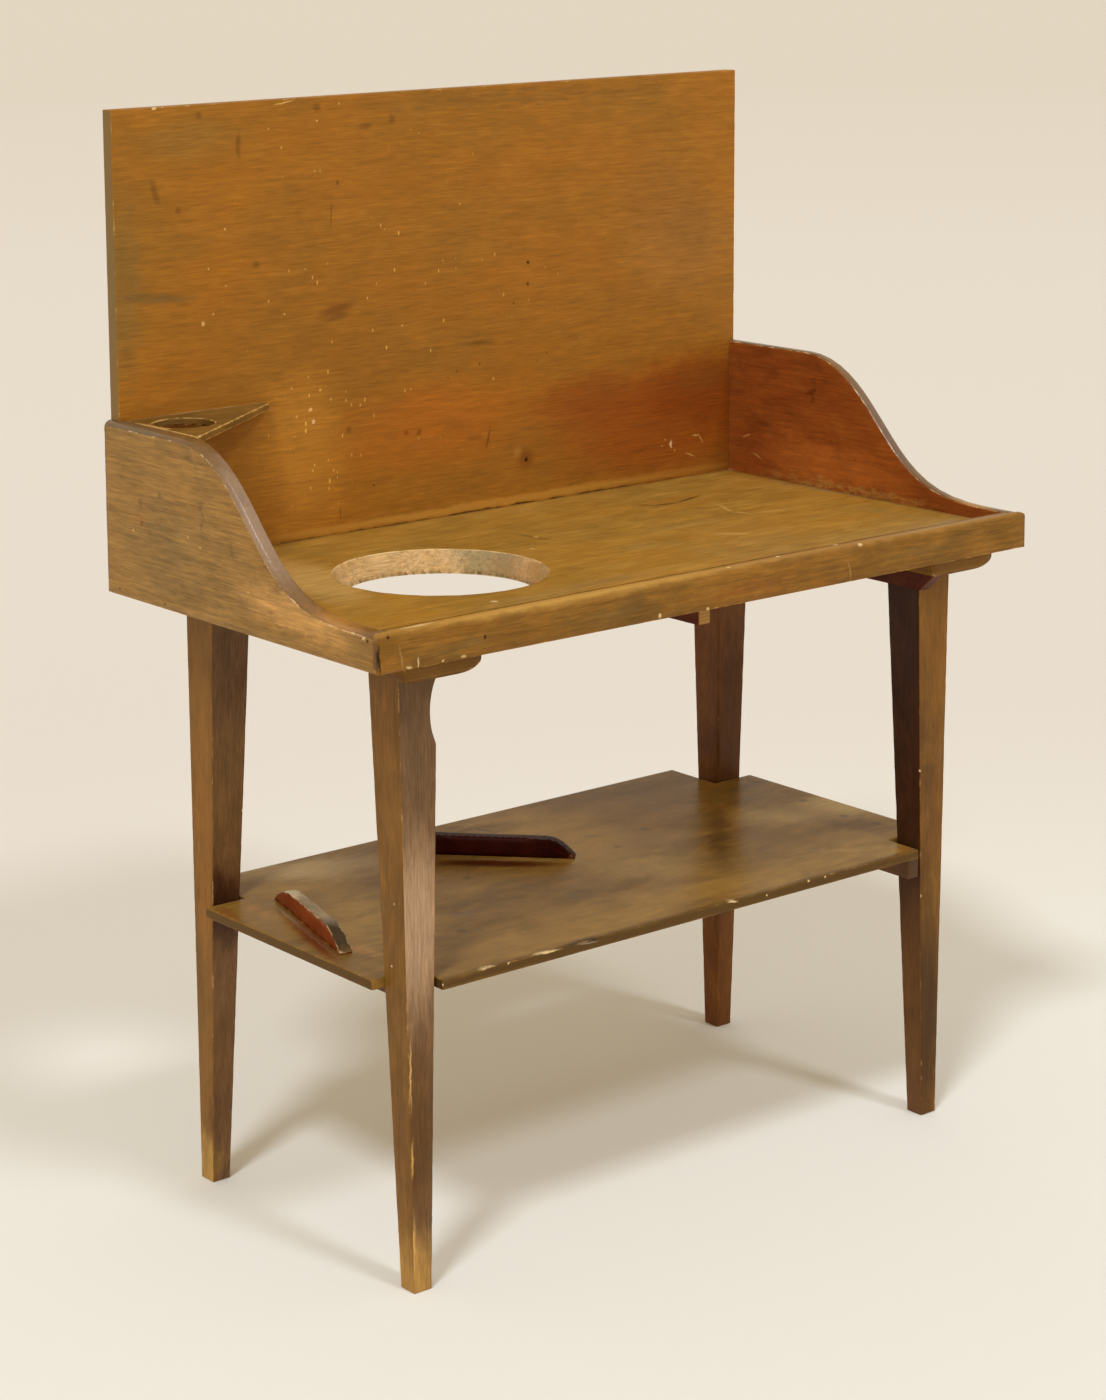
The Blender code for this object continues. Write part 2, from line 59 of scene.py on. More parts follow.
def add(tree, kind, inputs=None, **settings):
    """Adds a shader node with its settings; each input is a value, or a node or socket to link.
    Sockets without a name of their own go by number: a Mix has 0 share, 6 and 7 the two
    colours; a MapRange has 0 value, 1 and 2 the range it comes from, 3 and 4 the one it gets."""
    made = tree.nodes.new("ShaderNode" + kind)
    for key, value in settings.items():
        setattr(made, key, value)
    for key, value in (inputs or {}).items():
        if isinstance(value, bpy.types.Node):
            value = value.outputs[2 if value.bl_idname == "ShaderNodeMix" else 0]
        if isinstance(value, bpy.types.NodeSocket):
            tree.links.new(value, made.inputs[key])
        else:
            made.inputs[key].default_value = value
    return made


def old_pine(name, grain, tones, washes=(), marks=(), specks=(), grime=("4b3420", 0.5),
             worn=("b58a55", 0.5), ends=None, figure=0.5, line=0.5, rough=0.42, shine=0.2,
             shift=0.0):
    """Stained pine with its grain along one axis. tones are the dark, middle and light stain,
    grime is (colour, share), worn is the bare wood's (colour, share) along the arrises, and
    ends the end grain's (colour, share). figure and line say how strongly the year rings and
    the fibres show, and shift moves the pattern, so that no two boards match.
    washes are soft and marks crisp: (colour, strength, spots), each spot on one face of the
    piece as (face, x, y, z, half length, half width, turn) in mm and degrees. specks are fine
    splashes over a place: (colour, share, x, y, z, rx, ry, rz)."""
    mat = bpy.data.materials.new(name)
    mat.use_nodes = True
    t = mat.node_tree
    skin = t.nodes["Principled BSDF"]
    place = add(t, "TexCoord")
    here = place.outputs["Object"]
    axis = [float(letter == grain) for letter in "xyz"]

    def distance(spots, seat):
        """How far a point is from the closest spot's middle, 1 being its rim."""
        least = None
        for face, x, y, z, long, wide, turn in spots:
            centre = (x / 1000, y / 1000, z / 1000)
            if long == wide:
                far = add(t, "VectorMath", {0: seat, 1: centre}, operation="DISTANCE")
                far = add(t, "Math", {0: far.outputs["Value"], 1: wide / 1000}, operation="DIVIDE")
                far = far.outputs[0]
            else:
                deep = max(8, wide)
                size = {"x": (deep, long, wide), "y": (long, deep, wide),
                        "z": (long, wide, deep)}[face]
                turned = [math.radians(turn) * (letter == face) for letter in "xyz"]
                spot = add(t, "Mapping", {"Vector": seat, "Location": centre, "Rotation": turned,
                                          "Scale": [s / 1000 for s in size]},
                           vector_type="TEXTURE")
                far = add(t, "VectorMath", {0: spot}, operation="LENGTH").outputs["Value"]
            if least is None:
                least = far
            else:
                least = add(t, "Math", {0: least, 1: far}, operation="MINIMUM").outputs[0]
        return least

    # Scales are cells per metre. Fibres come out 1.3 mm wide and year rings 4.3 mm, coarser than
    # the real 0.3 mm and 2 mm, which would not show. The stain lies in clouds 110 mm across with
    # streaks of 26 mm in them, the grime in patches of 45 mm, all drawn out along the grain.
    fibres, year_rings, clouds, streaks, patches = 760, 230, 9, 38, 22
    along = add(t, "Mapping", {"Vector": here, "Location": [shift] * 3,
                               "Scale": [0.05 if a else 1 for a in axis]})
    fine = add(t, "TexNoise", {"Vector": along, "Scale": fibres, "Detail": 3, "Roughness": 0.65})
    rings = add(t, "TexNoise", {"Vector": along, "Scale": year_rings, "Detail": 3,
                                "Roughness": 0.6, "Distortion": 0.3})
    cloud = add(t, "Mapping", {"Vector": here, "Location": (shift, 0, shift),
                               "Scale": [0.5 if a else 1 for a in axis]})
    blotch = add(t, "TexNoise", {"Vector": cloud, "Scale": clouds, "Detail": 3, "Roughness": 0.55})
    streak = add(t, "TexNoise", {"Vector": cloud, "Scale": streaks, "Detail": 4,
                                 "Roughness": 0.6, "Distortion": 0.4})
    dirt = add(t, "TexNoise", {"Vector": cloud, "Scale": patches, "Detail": 5, "Roughness": 0.65})
    share = add(t, "MapRange", {0: blotch, 1: 0.34, 2: 0.62})
    body = add(t, "Mix", {0: share, 6: linear(tones[0]), 7: linear(tones[1])}, data_type="RGBA")
    share = add(t, "MapRange", {0: streak, 1: 0.42, 2: 0.72, 4: 0.6})
    body = add(t, "Mix", {0: share, 6: body, 7: linear(tones[2])}, data_type="RGBA")

    # Washes end in tongues of up to 25 mm and marks in tufts of up to 4 mm, in cells of 14 mm.
    tufts, tongue, tuft = 70, 0.05, 0.008
    torn = add(t, "TexNoise", {"Vector": cloud, "Scale": tufts, "Detail": 4, "Roughness": 0.7})
    pull = add(t, "VectorMath", {0: torn.outputs["Color"], 1: (0.5, 0.5, 0.5)},
               operation="SUBTRACT")
    ragged = add(t, "VectorMath", {0: pull, 1: [tongue] * 3, 2: here}, operation="MULTIPLY_ADD")
    for colour, strength, spots in washes:
        share = add(t, "MapRange", {0: distance(spots, ragged), 1: 1.0, 2: 0.25, 4: strength},
                    interpolation_type="SMOOTHSTEP")
        body = add(t, "Mix", {0: share, 6: body, 7: linear(colour)}, data_type="RGBA")

    # Rings and fibres darken and lighten the stain, and grime lies over both.
    tone = add(t, "MapRange", {0: rings, 1: 0.35, 2: 0.65,
                               3: 1 - 0.22 * figure, 4: 1 + 0.16 * figure})
    body = add(t, "Mix", {0: 1.0, 6: body, 7: tone}, data_type="RGBA", blend_type="MULTIPLY")
    tone = add(t, "MapRange", {0: fine, 1: 0.32, 2: 0.68, 3: 1 - 0.26 * line, 4: 1 + 0.20 * line})
    body = add(t, "Mix", {0: 1.0, 6: body, 7: tone}, data_type="RGBA", blend_type="MULTIPLY")
    share = add(t, "MapRange", {0: dirt, 1: 0.50, 2: 0.70, 4: grime[1]})
    body = add(t, "Mix", {0: share, 6: body, 7: linear(grime[0])}, data_type="RGBA")

    # End grain drinks more stain: it is darker, and shows the year rings as arcs 3.5 mm apart.
    facing = add(t, "VectorMath", {0: place.outputs["Normal"], 1: axis}, operation="DOT_PRODUCT")
    square = add(t, "Math", {0: facing.outputs["Value"]}, operation="ABSOLUTE")
    arcs = add(t, "TexWave", {"Vector": here, "Scale": 90, "Distortion": 4, "Detail": 2,
                              "Detail Scale": 0.4}, wave_type="RINGS")
    ends = ends or (tones[0], 0.6)
    sawn = add(t, "Mix", {0: 0.75, 6: linear(grime[0]), 7: linear(ends[0])}, data_type="RGBA")
    sawn = add(t, "Mix", {0: arcs, 6: sawn, 7: linear(ends[0])}, data_type="RGBA")
    share = add(t, "MapRange", {0: square, 1: 0.8, 2: 0.95, 4: ends[1]})
    body = add(t, "Mix", {0: share, 6: body, 7: sawn}, data_type="RGBA")
    frayed = add(t, "VectorMath", {0: pull, 1: [tuft] * 3, 2: here}, operation="MULTIPLY_ADD")
    for colour, strength, spots in marks:
        share = add(t, "MapRange", {0: distance(spots, frayed), 1: 1.3, 2: 0.3, 4: strength},
                    interpolation_type="SMOOTHSTEP")
        body = add(t, "Mix", {0: share, 6: body, 7: linear(colour)}, data_type="RGBA")

    # Splashes lie about 7 mm apart and are up to 3 mm wide, longer downwards, as drops run.
    drops, widest = 150, 0.26
    for colour, share, x, y, z, rx, ry, rz in specks:
        seat = add(t, "Mapping", {"Vector": ragged, "Location": (x / 1000, y / 1000, z / 1000),
                                  "Scale": (rx / 1000, ry / 1000, rz / 1000)},
                   vector_type="TEXTURE")
        far = add(t, "VectorMath", {0: seat}, operation="LENGTH")
        near = add(t, "MapRange", {0: far.outputs["Value"], 1: 1.0, 2: 0.3})
        fall = add(t, "Mapping", {"Vector": here, "Scale": (1, 1, 0.5)})
        cell = add(t, "TexVoronoi", {"Vector": fall, "Scale": drops})
        pick = add(t, "SeparateColor", {0: cell.outputs["Color"]})
        size = add(t, "MapRange", {0: pick, 1: 1 - share, 2: 1.0, 4: widest})
        dot = add(t, "Math", {0: size, 1: cell.outputs["Distance"]}, operation="SUBTRACT")
        drop = add(t, "MapRange", {0: dot, 1: 0.0, 2: 0.08})
        mask = add(t, "Math", {0: drop, 1: near}, operation="MULTIPLY")
        body = add(t, "Mix", {0: mask, 6: body, 7: linear(colour)}, data_type="RGBA")

    # Handling thins the stain along the arrises, up to 1.8 mm wide in runs of about 25 mm, and
    # knocks pale chips up to 3.2 mm wide and about 13 mm long out of them. Widths are in mm.
    band, chip, runs, knocks, bare = 1.8, 3.2, 40, 75, "e0c493"
    edge = add(t, "Attribute", attribute_name="from_arris").outputs["Fac"]
    patch = add(t, "TexNoise", {"Vector": here, "Scale": runs, "Detail": 5, "Roughness": 0.7})
    reach = add(t, "MapRange", {0: patch, 1: 0.62 - 0.3 * worn[1], 2: 0.80 - 0.3 * worn[1],
                                4: band})
    thin = add(t, "Math", {0: reach, 1: edge}, operation="SUBTRACT")
    share = add(t, "MapRange", {0: thin, 1: 0.0, 2: 0.9, 4: 0.75})
    body = add(t, "Mix", {0: share, 6: body, 7: linear(worn[0])}, data_type="RGBA")
    nick = add(t, "TexNoise", {"Vector": here, "Scale": knocks, "Detail": 2, "Roughness": 0.5})
    bite = add(t, "MapRange", {0: nick, 1: 0.74 - 0.06 * worn[1], 2: 0.82 - 0.06 * worn[1],
                               4: chip})
    raw = add(t, "Math", {0: bite, 1: edge}, operation="SUBTRACT")
    share = add(t, "MapRange", {0: raw, 1: 0.0, 2: 0.5, 4: 0.85})
    body = add(t, "Mix", {0: share, 6: body, 7: linear(bare)}, data_type="RGBA")

    # A thin old finish: a low gloss, duller where it is dirty, with the grain just felt.
    t.links.new(body.outputs[2], skin.inputs["Base Color"])
    skin.inputs["IOR"].default_value = 1.5
    skin.inputs["Specular IOR Level"].default_value = shine
    gloss = add(t, "MapRange", {0: dirt, 1: 0.3, 2: 0.7, 3: rough - 0.05, 4: rough + 0.1})
    t.links.new(gloss.outputs[0], skin.inputs["Roughness"])
    wave = add(t, "Math", {0: fine, 1: rings}, operation="ADD")
    height = add(t, "Bump", {"Height": wave, "Strength": 0.25, "Distance": 0.0004})
    t.links.new(height.outputs[0], skin.inputs["Normal"])
    return mat


def worn_piece(node, finish, rub=0.4, step=9, other=None, where=None):
    """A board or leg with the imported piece's own shape, cut in cells of about step mm so that its
    arrises can be rubbed down unevenly, always inwards: with a rub of 0.4 by 0.16 mm on average
    and 0.7 mm at most. other is a second finish for the faces that where picks."""
    weld, flat, arris, corner = 1e-6, 0.01, 0.6, math.radians(58)  # metres, then radians
    lowest, farthest = 0.002, 20.0  # the bottom 2 mm stay sharp; wear is looked for within 20 mm
    shape = bmesh.new()
    shape.from_mesh(nodes[node].data)
    bmesh.ops.remove_doubles(shape, verts=shape.verts[:], dist=weld)
    bmesh.ops.dissolve_limit(shape, angle_limit=flat, verts=shape.verts[:], edges=shape.edges[:])
    low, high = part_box(node)
    for k in range(3):
        cells = max(4, int((high[k] - low[k]) * 1000 / step))
        for i in range(1, cells):
            spot = low.copy()
            spot[k] += (high[k] - low[k]) * i / cells
            bmesh.ops.bisect_plane(shape, geom=shape.verts[:] + shape.edges[:] + shape.faces[:],
                                   plane_co=spot, plane_no=[float(j == k) for j in range(3)])
    shape.normal_update()
    away = shape.verts.layers.float.new("from_arris")
    if other:
        for face in shape.faces:
            face.material_index = int(where(face.calc_center_median(), face.normal))
    arrises = [v for v in shape.verts
               if max((e.calc_face_angle(0) for e in v.link_edges), default=0) > arris
               or len({f.material_index for f in v.link_faces}) > 1]
    tree = kdtree.KDTree(len(arrises))
    for i, v in enumerate(arrises):
        tree.insert(v.co, i)
    tree.balance()
    for v in shape.verts:
        v[away] = min(farthest, tree.find(v.co)[2] * 1000)
    # The depth swells and fades every 14 mm, with sharper bites of 5 mm here and there.
    moves = []
    for v in (v for v in arrises if v.co.z > low.z + lowest):
        depth = 0.4 + noise.noise(v.co * 70) + 3 * max(0, noise.noise(v.co * 190) - 0.4)
        moves.append((v, v.normal * (-rub / 1000 * max(0, depth))))
    for v, move in moves:
        v.co += move
    mesh = bpy.data.meshes.new(node + "_worn")
    shape.to_mesh(mesh)
    shape.free()
    mesh.shade_smooth()
    mesh.set_sharp_from_angle(angle=corner)
    for coat in (finish, other) if other else (finish,):
        mesh.materials.append(coat)
    piece = bpy.data.objects.new(node + "_worn", mesh)
    bpy.context.scene.collection.objects.link(piece)
    even = piece.modifiers.new("even shading", "WEIGHTED_NORMAL")
    even.keep_sharp = True
    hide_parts(node)
    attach(piece, "root")


# Planed pine under a thin rubbed stain, dull brown with chips and golden feet.
left_leg_pine = old_pine(
    "rubbed_pine_left_legs", "z", ("6c4a1c", "7f5720", "906429"),
    washes=(
        ("b08540", 0.8, (("x", -411, -177, 14, 65.5, 60, -89),)),
        ("b98f48", 0.85, (("x", -412, 184, 16, 55.9, 44, -88),)),
        ("6b481c", 0.5, (("x", -411, -188, 180, 128.4, 22, 87),)),
        ("8a5c22", 0.4, (("x", -411, -173, 606, 62.2, 20, 85),)),
        ("93601f", 0.55, (("x", -412, 175, 400, 200.1, 26, 89),)),
    ),
    marks=(
        ("e8cb92", 0.75, (
            ("x", -411, -184, 431, 1.5, 1.5, 0), ("x", -411, -177, 360, 1.5, 1.5, 0))),
        ("e8cb92", 0.9, (("y", 371, -199, 279, 3, 3, 0),)),
    ),
    grime=("4b3118", 0.3), worn=("a97f4a", 0.35), line=0.8, rough=0.4, shine=0.15)
# The left legs' fronts, handled most: greyish bare wood with soot-dark places between, and a
# painted greyish pink sheen halfway up the front left leg.
rubbed_leg_fronts_and_sheen = old_pine(
    "rubbed_pine_leg_fronts_and_sheen", "z", ("5f442a", "735233", "856341"),
    washes=(
        ("755a3e", 0.6, (("y", -389, -201, 603, 108, 60, -90),)),
        # painted sheen halfway up the front left leg
        ("ab8a68", 0.9, (("y", -395, -201, 407, 145.3, 60, -88),)),
        # painted sheen, its brightest middle
        ("b39375", 0.5, (("y", -395, -201, 401, 87.4, 50, -89),)),
        ("5f3f1a", 0.85, (("y", -407, -201, 173, 134.9, 60, -88),)),
        ("b98e48", 0.85, (("y", -413, -201, 18, 65.4, 60, -89),)),
        ("83623a", 0.6, (("y", -389, 149, 467, 123.6, 60, -89),)),
        ("b08a45", 0.85, (("y", -412, 149, 19, 41.8, 36, -89),)),
        ("3a1a0b", 0.85, (("y", -400, 149, 335, 67.4, 50, -89),)),
        ("6d4c28", 0.6, (("y", -411, 149, 116, 176.1, 60, -88),)),
    ),
    marks=(
        ("1c120a", 0.75, (("y", -415, -201, 640, 27.9, 1.3, 89),)),
        ("dcae66", 0.75, (
            ("y", -407, -201, 245, 41.8, 1.5, -90), ("y", -407, -201, 151, 23.4, 1.8, -90),
            ("y", -407, -201, 54, 40.3, 2.4, 90))),
        ("e8cb92", 0.9, (
            ("y", -416, -201, 608, 2.4, 2.4, 0), ("y", -415, -201, 567, 6.1, 2.4, -89))),
        ("e8cb92", 0.75, (("y", -415, -201, 549, 2.4, 2.4, 0), ("y", -391, -201, 561, 2, 2, 0))),
    ),
    grime=("3f2c1b", 0.3), worn=("a9825a", 0.4), line=1.0, rough=0.36, shine=0.15, shift=0.9)
# The front right leg has kept its stain, an even warm brown that darkens low down.
front_right_leg_pine = old_pine(
    "brown_pine_front_right_leg", "z", ("6b471c", "80561f", "8f6428"),
    washes=(
        ("432a0e", 0.9, (("y", 377, -199, 120, 230, 60, -88),)),
        ("45280f", 0.5, (("y", 373, -199, 310, 60, 30, -88),)),
    ),
    marks=(
        ("e3c794", 0.9, (("y", 371, -199, 279, 3, 3, 0),)),
    ),
    grime=("3c2817", 0.4), worn=("a98250", 0.4), line=0.8, rough=0.4, shine=0.15, shift=2.3)
# Its inner side has the first stain still, dull, and is painted nearly black for the shade
# under the tray, less so near the foot.
front_right_inside_shade_pine = old_pine(
    "painted_shade_pine_front_right_leg_inside", "z", ("3a1f10", "472713", "55321b"),
    # less painted shade near the foot
    washes=(("6b4824", 0.8, (("z", 380, -185, 60, 90, 330, 0),)),),
    grime=("241309", 0.4), worn=("7d5a34", 0.3), line=0.8, rough=0.4, shine=0.15, shift=4.7)
# The back right leg is redder; its side towards the room is darkened with painted shade.
back_right_leg_pine = old_pine(
    "dark_pine_back_right_leg", "z", ("653b17", "774a1f", "865626"),
    # painted shade over the leg's front
    washes=(("4e2f16", 0.7, (("y", 392, 152, 380, 330, 45, 90),)),),
    grime=("351e0e", 0.4), worn=("94683a", 0.35), line=0.8, rough=0.4, shine=0.12, shift=6.3)


def faces_the_room(middle, normal):
    return normal.y < -0.5


def faces_left(middle, normal):
    return normal.x < -0.5


for name in ("leg_front_left", "leg_back_left"):
    worn_piece(name, left_leg_pine, other=rubbed_leg_fronts_and_sheen, where=faces_the_room)
worn_piece("leg_front_right", front_right_leg_pine,
           other=front_right_inside_shade_pine, where=faces_left)
worn_piece("leg_back_right", back_right_leg_pine)

# ---------------------------------------------------------------------------------------------
# Bearers and cleats. Pine strips nailed under the tray: two bearers over the leg heads with
# rounded shaped ends, one cleat under the middle and one against the right legs. They are
# darker than the rest, since hands and light seldom reach them.

# Planed pine under old dust: a dull brown that hands have hardly polished.
bearer_pine = old_pine(
    "dark_pine_bearers", "y", ("5a3715", "7a5422", "8d662e"),
    grime=("45300f", 0.4), worn=("b0854a", 0.5), ends=("7f5a26", 0.5), shine=0.1, shift=1.7)
# The first red stain, dark and dull, with pale sawn ends.
cleat_pine = old_pine(
    "red_pine_cleats", "y", ("43180a", "5c2710", "703616"),
    grime=("2d1408", 0.4), worn=("96602c", 0.4), ends=("b08747", 0.95), shine=0.1, shift=2.9)
for name in ("bearer_left", "bearer_right"):
    worn_piece(name, bearer_pine)
for name in ("centre_cleat", "leg_cleat_right"):
    worn_piece(name, cleat_pine)

# ---------------------------------------------------------------------------------------------
# Tray board. One wide pine board with the round basin hole sawn through it and its rim
# bevelled. Water and wiping have taken the stain off, so it is the palest and most
# olive-yellow board of the piece.

# Scrubbed pine: bleached olive yellow with a raised grain, low gloss and scratches of dishes.
tray_pine = old_pine(
    "scrubbed_pine_tray", "x", ("98732e", "ad7d2e", "c29644"),
    washes=(
        ("d6b06a", 0.6, (("z", -342, 38, 729, 164.2, 60, 73),)),
        ("a3824c", 0.45, (("z", -159, -171, 729, 240.8, 26, 4),)),
        ("b27a28", 0.5, (("z", 239, 130, 729, 208.2, 13, 4),)),
        ("bd9854", 0.45, (("z", 172, 3, 729, 87, 15, 3),)),
        ("8f7743", 0.4, (("z", 62, -53, 729, 75.5, 18, -17),)),
        ("9c7c3f", 0.4, (("z", 410, -89, 729, 101, 22, -87),)),
        ("8f8466", 0.5, (("z", 460, 22, 729, 189.7, 9, -85),)),
        ("8f8466", 0.35, (("z", 431, -180, 729, 64, 14, 26),)),
    ),
    marks=(
        ("22140a", 0.5, (("z", 220, 126, 729, 16.9, 3.2, -48),)),
        ("22140a", 0.75, (
            ("z", 244, 114, 729, 18.8, 3.6, -10), ("z", 288, 121, 729, 33.1, 3.2, 19))),
        ("dcb265", 0.5, (("z", 282, 50, 729, 26.9, 3, 68), ("z", 278, 16, 729, 16.1, 3, -66))),
        ("dcb265", 0.35, (("z", 307, 1, 729, 26.7, 3, -8), ("z", 182, -67, 729, 23.3, 8, -39))),
        ("5a4420", 0.5, (("z", -7, 70, 729, 30, 6, -82),)),
        ("dcb265", 0.75, (("z", -4, 68, 729, 4, 4, 0), ("z", -49, 21, 729, 4, 4, 0))),
        ("e8cb92", 0.9, (("z", -255, -161, 729, 4.8, 4.8, 0),)),
    ),
    grime=("8a6c30", 0.35), worn=("d8b06a", 0.6), figure=0.6, line=0.9, rough=0.38, shine=0.15,
    shift=3.1)
# The hole's sawn wall cuts across the fibres, so it is coarse, pale and dull.
basin_wall_pine = old_pine(
    "sawn_pine_basin_wall", "x", ("bd9458", "d1a870", "dfbe8b"),
    washes=(
        ("c98f47", 0.7, (("z", -300, 40, 716, 60, 60, 0),)),
        ("8b8159", 0.65, (("z", -100, 40, 716, 40, 60, 0),)),
    ),
    grime=("8d7c5b", 0.5), worn=("e3c690", 0.9), ends=("c09463", 0.4), figure=1.0, line=1.0,
    shine=0.2, shift=4.4)
BASIN_CENTRE, BASIN_RIM = (-0.2056, -0.0062), 0.1222  # the hole's middle and upper radius, metres


def in_basin_wall(middle, normal):
    return math.dist(middle.xy, BASIN_CENTRE) < BASIN_RIM and abs(normal.z) < 0.98


worn_piece("tray_board", tray_pine, other=basin_wall_pine, where=in_basin_wall)

# ---------------------------------------------------------------------------------------------
# Backboard. One wide pine board standing in the rebates of the side boards, nailed from
# behind. Golden brown stain with olive grime on its left edge and redder wood low down, small
# knots, and splashes of soap and lime over the basin.

# Planed pine under a thin golden stain: a low soft gloss through which the grain shows. Low
# down, two washes are painted light, one of them beside the corner shelf's shadow, and a dark
# red stain under the shelf's front edge is deepened with painted shade.
backboard_pine = old_pine(
    "stained_pine_backboard", "x", ("946522", "a1681e", "aa7024"),
    washes=(
        ("7a6230", 0.55, (("y", -462, 235, 1045, 149, 34, -90),)),
        ("84672f", 0.4, (("y", -375, 235, 1206, 96.6, 34, -1),)),
        # painted light: a pool of light beside the corner shelf's shadow
        ("c88b34", 0.5, (("y", -222, 235, 832, 138.4, 90, 87),)),
        ("a5763a", 0.35, (("y", 376, 235, 1029, 142.5, 80, -4),)),
        ("954816", 0.7, (("y", 351, 235, 801, 279.1, 105, 2),)),
        ("864114", 0.7, (("y", 408, 235, 839, 148.7, 70, 1),)),
        ("93622a", 0.45, (("y", 366, 235, 1072, 146.8, 80, 40),)),
        ("8f4a18", 0.6, (("y", 225, 235, 849, 133.3, 46, 1),)),
        ("7b5a28", 0.4, (("y", 101, 235, 1231, 332.9, 14, 1),)),
        # painted light lifting the lower middle of the board
        ("b4681f", 0.6, (("y", -20, 235, 840, 190, 75, 0),)),
    ),
    marks=(
        ("cf9a42", 0.5, (("y", 60, 235, 736, 420, 6, 0),)),
        ("33230f", 0.9, (("y", 60, 235, 728.6, 430, 1.7, 0),)),
        ("3a2412", 0.35, (
            ("y", -354, 235, 1234, 5, 5, 0), ("y", -301, 235, 1196, 17.5, 4, -89),
            ("y", -416, 235, 1152, 15.6, 5, 72), ("y", -385, 235, 1129, 5, 5, 0),
            ("y", -279, 235, 1059, 5, 5, 0), ("y", -164, 235, 988, 20.1, 5, -8),
            ("y", -190, 235, 1234, 6, 6, 0), ("y", -120, 235, 1209, 11.8, 5, -7),
            ("y", -82, 235, 1215, 6, 6, 0), ("y", 50, 235, 936, 26.2, 4, 3),
            ("y", -66, 235, 839, 4, 4, 0), ("y", 38, 235, 821, 16.1, 5, 0),
            ("y", -151, 235, 852, 5, 5, 0))),
        ("3a2412", 0.5, (
            ("y", -162, 235, 1145, 3, 3, 0), ("y", -172, 235, 1110, 21.4, 1, -89),
            ("y", 61, 235, 817, 15.2, 2, -75), ("y", -165, 235, 754, 8.3, 1, -89))),
        ("5f5230", 0.5, (("y", -415, 235, 1032, 53.3, 7, 5),)),
        ("5a2410", 0.5, (("y", -166, 235, 997, 27.4, 7, -10),)),
        ("22140a", 0.9, (("y", 125, 235, 1028, 2.6, 2.6, 0),)),
        ("22140a", 0.75, (
            ("y", 125, 235, 1002, 2.2, 2.2, 0), ("y", 103, 235, 980, 1.8, 1.8, 0),
            ("y", 48, 235, 911, 1.8, 1.8, 0))),
        ("22140a", 0.5, (
            ("y", 13, 235, 906, 1.8, 1.8, 0), ("y", -1, 235, 899, 1.8, 1.8, 0),
            ("y", -115, 235, 781, 2, 2, 0), ("y", 140, 235, 905, 1.6, 1.6, 0),
            ("y", 155, 235, 914, 1.6, 1.6, 0))),
        ("5a1c0a", 0.5, (("y", -46, 235, 837, 5, 5, 0),)),
        ("6e3512", 0.5, (("y", 121, 235, 784, 14, 14, 0),)),
        ("c08a45", 0.35, (("y", 107, 235, 795, 7, 7, 0),)),
        ("120805", 0.9, (("y", 121, 235, 784, 3.4, 3.4, 0),)),
        ("dcb265", 0.75, (
            ("y", -237, 235, 1242, 12.9, 1.1, -11), ("y", -191, 235, 1219, 1.6, 1.6, 0),
            ("y", -158, 235, 1237, 1.5, 1.5, 0), ("y", -259, 235, 1214, 1.5, 1.5, 0),
            ("y", -242, 235, 1191, 1.5, 1.5, 0), ("y", -42, 235, 1196, 1.5, 1.5, 0),
            ("y", -346, 235, 1060, 1.6, 1.6, 0), ("y", -321, 235, 1103, 1.6, 1.6, 0),
            ("y", -321, 235, 1038, 1.5, 1.5, 0), ("y", -210, 235, 1048, 1.5, 1.5, 0),
            ("y", -179, 235, 1052, 1.5, 1.5, 0), ("y", -263, 235, 1015, 1.5, 1.5, 0),
            ("y", -121, 235, 1006, 1.5, 1.5, 0), ("y", -340, 235, 1008, 1.6, 1.6, 0),
            ("y", -241, 235, 999, 1.5, 1.5, 0), ("y", -69, 235, 969, 1.6, 1.6, 0),
            ("y", -195, 235, 1161, 1.6, 1.6, 0), ("y", 70, 235, 890, 1.6, 1.6, 0),
            ("y", -58, 235, 891, 1.6, 1.6, 0), ("y", -176, 235, 891, 1.8, 1.8, 0),
            ("y", -192, 235, 905, 1.8, 1.8, 0), ("y", -233, 235, 911, 1.8, 1.8, 0),
            ("y", -226, 235, 876, 1.8, 1.8, 0), ("y", -204, 235, 810, 2, 2, 0),
            ("y", 368, 235, 765, 1.2, 1.2, 0), ("y", 404, 235, 781, 7.1, 0.9, -5),
            ("y", 414, 235, 776, 7.6, 0.9, 50))),
        ("dcb265", 0.9, (("y", -355, 235, 998, 2.6, 2.6, 0),)),
        ("e8cb92", 0.9, (
            ("y", -206, 235, 882, 2.6, 2.6, 0), ("y", -203, 235, 868, 2.8, 2.8, 0),
            ("y", 362, 235, 774, 5.5, 2.2, -89))),
        # painted shade under the corner shelf's front edge, over a dark red stain
        ("5a1c0c", 0.75, (("y", -333, 235, 877, 59.3, 3.2, -15),)),
        ("e8cb92", 0.75, (("y", 352, 235, 781, 1.2, 1.2, 0), ("y", 347, 235, 774, 1.2, 1.2, 0))),
        ("dcb265", 0.5, (("y", 395, 235, 757, 10.3, 0.9, 23),)),
    ),
    specks=(
        ("e6b65c", 0.8, -200, 235, 850, 85, 20, 120),
        ("cf9a48", 0.18, -80, 235, 1000, 330, 20, 240),
    ),
    grime=("7f5722", 0.3), worn=("bd9650", 0.4), ends=("7d673f", 0.9), figure=0.5, line=0.7,
    rough=0.45, shine=0.12, shift=5.3)
worn_piece("backboard", backboard_pine)
